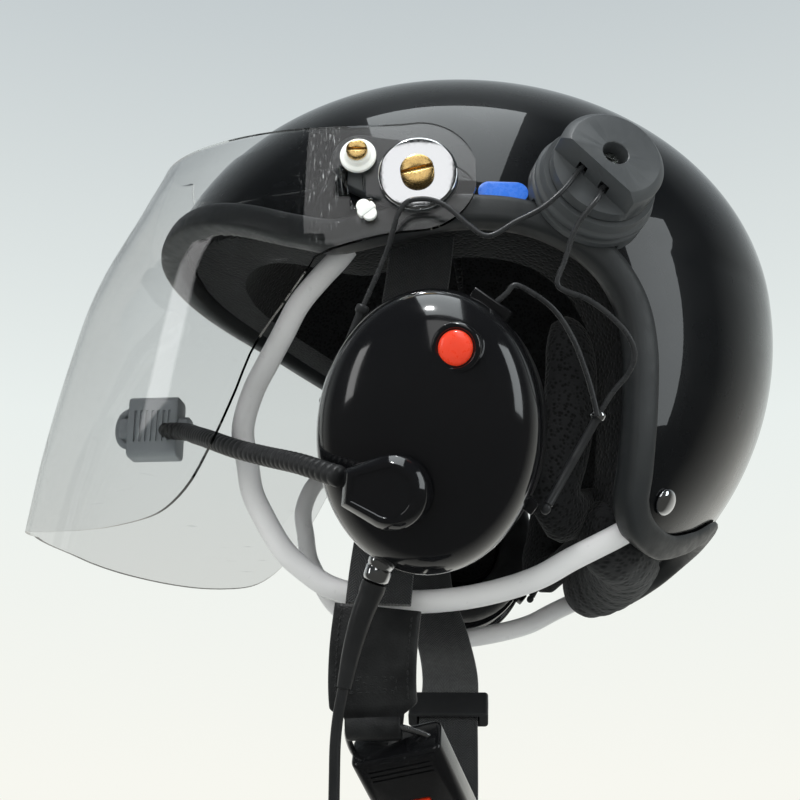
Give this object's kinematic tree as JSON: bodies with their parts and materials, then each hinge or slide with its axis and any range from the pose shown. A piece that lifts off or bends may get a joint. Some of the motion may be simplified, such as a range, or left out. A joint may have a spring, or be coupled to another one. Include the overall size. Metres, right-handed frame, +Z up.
{
  "type": "paramotor helmet",
  "caption": "Open-face flying helmet with a clear hinged visor, sprung headset ear cups, a boom microphone, chin guard tubes, a buckled chin strap and a coiled headset cable.",
  "frame": {"origin": "where the top of the wearer's head touches the padding inside the crown", "axes": "+Z up, the face looks along -Y, +X to the wearer's left"},
  "size_m": [0.3078, 0.3385, 0.4162],
  "materials": {
    "shell_black": "smooth black gloss lacquer",
    "trim_rubber": "matte dark rubber",
    "foam_grey": "fine beaded foam",
    "liner_mesh": "spacer mesh over plush padding",
    "roll_mesh": "hexagonal mesh over ribbed cloth",
    "visor_clear": "clear moulded sheet",
    "pivot_dark": "moulded, fine grain",
    "washer_chrome": "polished",
    "screw_brass": "turned, slotted",
    "nylon_white": "milky nylon",
    "turret_dark": "moulded, satin",
    "screw_zinc": "zinc plated",
    "wire_black": "black coated spring wire",
    "sleeve_black": "satin sleeve",
    "cup_black": "smooth black gloss",
    "cushion_black": "soft grained leatherette",
    "speaker_dark": "cloth covered grille",
    "bezel_black": "satin ring",
    "button_red": "domed, satin",
    "boom_black": "satin moulding",
    "neck_black": "ribbed flexible tube",
    "mic_grey": "moulded grille",
    "ring_chrome": "polished",
    "cable_black": "smooth jacket",
    "tie_black": "hook and loop tie",
    "plug_steel": "nickel plated",
    "guard_grey": "pale grey sleeve, satin",
    "web_black": "woven webbing",
    "pad_black": "stitched leatherette",
    "buckle_black": "gloss moulding",
    "lever_red": "gloss moulding",
    "ring_steel": "bent wire, polished",
    "slider_black": "moulded",
    "rivet_steel": "domed, plated"
  },
  "bodies": {
    "shell": {"outer_shell": "shell_black", "edge_trim": "trim_rubber", "eps_liner": "foam_grey", "comfort_liner": "liner_mesh", "neck_roll": "roll_mesh", "pivot_plate_left": "pivot_dark", "pivot_plate_right": "pivot_dark", "pivot_washer_left": "washer_chrome", "pivot_washer_right": "washer_chrome", "pivot_screw_left": "screw_brass", "pivot_screw_right": "screw_brass", "stop_knob_left": "nylon_white", "stop_knob_right": "nylon_white", "stop_screw_left": "screw_brass", "stop_screw_right": "screw_brass", "turret_base_left": "turret_dark", "turret_base_right": "turret_dark", "turret_knob_left": "turret_dark", "turret_knob_right": "turret_dark", "turret_screw_left": "screw_zinc", "turret_screw_right": "screw_zinc", "chin_guard_left": "guard_grey", "chin_guard_right": "guard_grey", "strap_rivet_left": "rivet_steel", "strap_rivet_right": "rivet_steel", "strap_left": "web_black", "strap_right": "web_black", "strap_pad": "pad_black", "buckle_body": "buckle_black", "strap_ring": "ring_steel", "strap_slider": "slider_black", "headset_cable": "cable_black", "cable_coil": "cable_black", "coil_tie": "tie_black", "cable_plug": "plug_steel"},
    "visor": {"visor": "visor_clear", "slot_clip_left": "nylon_white", "slot_clip_right": "nylon_white"},
    "left_yoke": {"yoke_wire_left": "wire_black", "front_sleeve_left": "sleeve_black", "rear_sleeve_left": "sleeve_black"},
    "right_yoke": {"yoke_wire_right": "wire_black", "front_sleeve_right": "sleeve_black", "rear_sleeve_right": "sleeve_black"},
    "left_cup": {"cup_shell_left": "cup_black", "cup_cushion_left": "cushion_black", "speaker_left": "speaker_dark", "cup_bail_left": "wire_black", "ptt_bezel": "bezel_black", "cable_ring": "ring_chrome", "cable_boot": "cable_black"},
    "right_cup": {"cup_shell_right": "cup_black", "cup_cushion_right": "cushion_black", "speaker_right": "speaker_dark", "cup_bail_right": "wire_black"},
    "left_boom": {"boom_housing": "boom_black", "boom_gooseneck": "neck_black", "microphone": "mic_grey"},
    "talk_button": {"ptt_button": "button_red"},
    "buckle_catch": {"buckle_lever": "lever_red"}
  },
  "joints": [
    {"name": "visor_raise", "type": "hinge", "parent": "shell", "child": "visor", "pos_m": [0, -0.007, -0.0595], "axis": [-1, 0, 0], "range_deg": [0, 30]},
    {"name": "left_yoke_swing", "type": "hinge", "parent": "shell", "child": "left_yoke", "pos_m": [0.12879, 0.06004, -0.06341], "axis": [0.111, -0.6984, 0.7071], "range_deg": [0, 4], "stiffness_Nm_per_rad": 1.5, "deforming": ["headset_cable"]},
    {"name": "right_yoke_swing", "type": "hinge", "parent": "shell", "child": "right_yoke", "pos_m": [-0.12879, 0.06004, -0.06341], "axis": [0.111, 0.6984, -0.7071], "range_deg": [0, 16], "stiffness_Nm_per_rad": 1.5},
    {"name": "left_cup_tilt", "type": "hinge", "parent": "left_yoke", "child": "left_cup", "pos_m": [0.11172, -0.00371, -0.16663], "axis": [0.0054, 0.884, -0.4674], "range_deg": [0, 3.5], "deforming": ["cable_boot"]},
    {"name": "right_cup_tilt", "type": "hinge", "parent": "right_yoke", "child": "right_cup", "pos_m": [-0.11172, -0.00371, -0.16663], "axis": [0.0054, -0.884, 0.4674], "range_deg": [0, 3.5]},
    {"name": "boom_swing", "type": "hinge", "parent": "left_cup", "child": "left_boom", "pos_m": [0.13664, -0.0134, -0.18409], "axis": [0.9327, -0.2326, -0.2756], "range_deg": [0, 35]},
    {"name": "button_press", "type": "slide", "parent": "left_cup", "child": "talk_button", "axis": [-0.9327, 0.2326, 0.2756], "range_m": [0, 0.0016], "stiffness_N_per_m": 1200},
    {"name": "lever_lift", "type": "hinge", "parent": "shell", "child": "buckle_catch", "pos_m": [0.05778, -0.01232, -0.28575], "axis": [-0.2114, -0.9597, -0.185], "range_deg": [0, 25], "stiffness_Nm_per_rad": 0.05}
  ]
}
